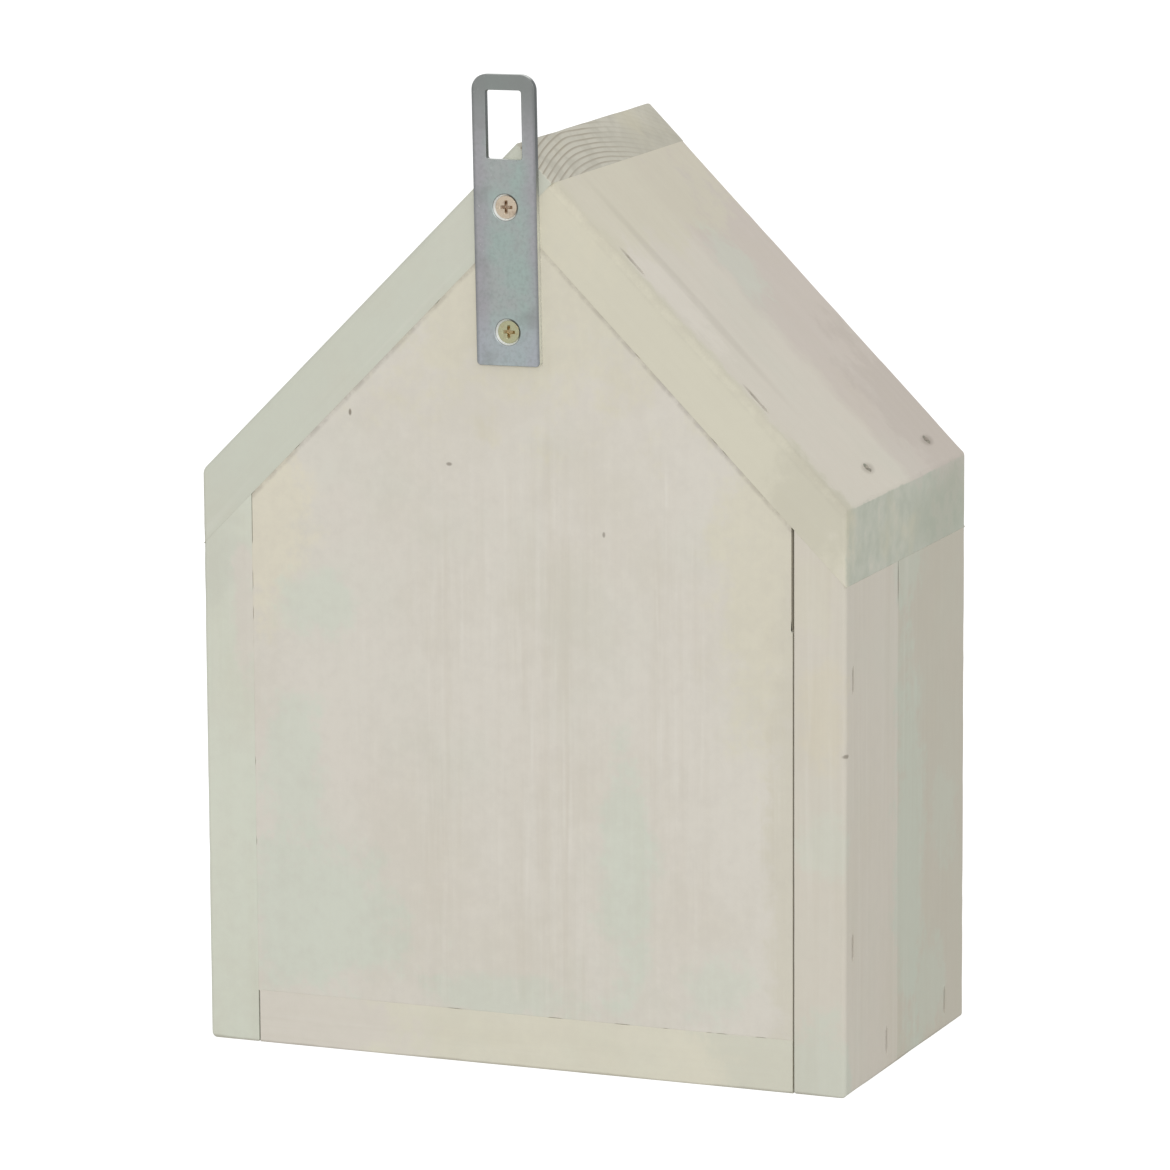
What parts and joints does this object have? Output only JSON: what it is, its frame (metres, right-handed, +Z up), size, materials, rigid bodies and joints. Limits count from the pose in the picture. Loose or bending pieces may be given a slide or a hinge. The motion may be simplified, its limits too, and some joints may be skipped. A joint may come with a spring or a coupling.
{
  "type": "bee hotel",
  "caption": "House-shaped whitewashed wooden bee hotel with a gabled roof, closed back and steel hanger plate; its open front is packed with loose bamboo canes as nest tubes.",
  "frame": {"origin": "middle of the footprint, on the base plane", "axes": "+Z up, the nest side faces -Y, the back with the hanger plate faces +Y, +X to the right seen from the front"},
  "size_m": [0.2, 0.105, 0.2907],
  "materials": {
    "whitewashed_softwood": "thin grey-white wash over planed softwood",
    "bamboo": "dry natural bamboo, sawn ends",
    "zinc_plated_steel": "dull mottled zinc plate",
    "bronzed_screw": "coppery passivated steel",
    "yellow_screw": "yellow passivated steel",
    "fastener_steel": "plain wire, washed over with the paint"
  },
  "bodies": {
    "house": {"side_board_left": "whitewashed_softwood", "side_board_right": "whitewashed_softwood", "base_board": "whitewashed_softwood", "roof_board_long": "whitewashed_softwood", "roof_board_short": "whitewashed_softwood", "back_panel": "whitewashed_softwood", "hanger_plate": "zinc_plated_steel", "hanger_screw_upper": "bronzed_screw", "hanger_screw_lower": "yellow_screw", "eave_nails": "fastener_steel", "ridge_nails": "fastener_steel", "base_staples": "fastener_steel", "panel_side_staples": "fastener_steel", "panel_roof_staples": "fastener_steel"},
    "canes": {"bamboo_canes_size_1": "bamboo", "bamboo_canes_size_2": "bamboo", "bamboo_canes_size_3": "bamboo", "bamboo_canes_size_4": "bamboo", "bamboo_canes_size_5": "bamboo", "bamboo_canes_size_6": "bamboo", "bamboo_canes_size_7": "bamboo"}
  },
  "joints": [
    {"name": "canes_draw_out", "type": "slide", "parent": "house", "child": "canes", "axis": [0, -1, 0], "range_m": [0, 0.08]}
  ]
}
